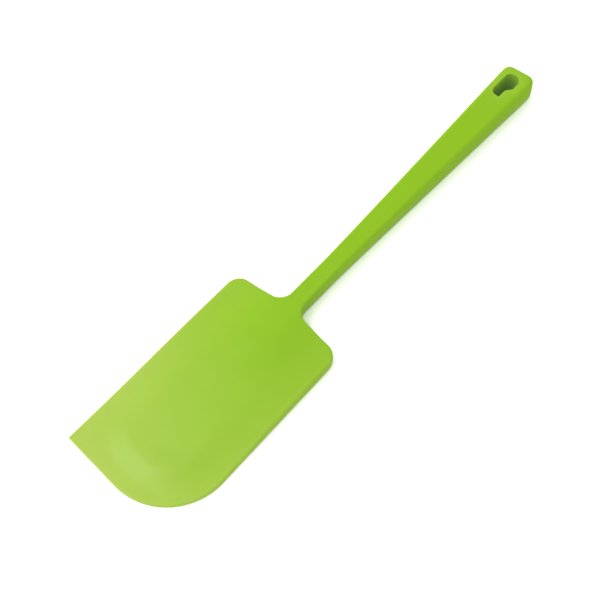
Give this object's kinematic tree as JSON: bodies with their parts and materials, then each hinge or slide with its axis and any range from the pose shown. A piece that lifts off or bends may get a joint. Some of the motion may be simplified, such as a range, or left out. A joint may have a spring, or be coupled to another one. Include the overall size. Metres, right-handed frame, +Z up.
{
  "type": "silicone spatula",
  "caption": "Lime-green silicone spatula with a broad thin-lipped blade, one sharp and one round tip corner, and a tapering bar handle with a stepped hanging hole.",
  "frame": {"origin": "middle of the part's box at table height, with the spatula lying flat", "axes": "+X along the handle towards the hanging hole, +Y towards the blade's sharp tip corner, +Z up from the table"},
  "size_m": [0.2652, 0.0612, 0.0132],
  "materials": {
    "silicone_body": "satin lime-green silicone, lightly translucent at the thin lip",
    "stiffener_core": "matte moulded nylon in a matching green"
  },
  "bodies": {
    "root": {"silicone_body": "silicone_body", "stiffener_core": "stiffener_core"}
  },
  "joints": []
}
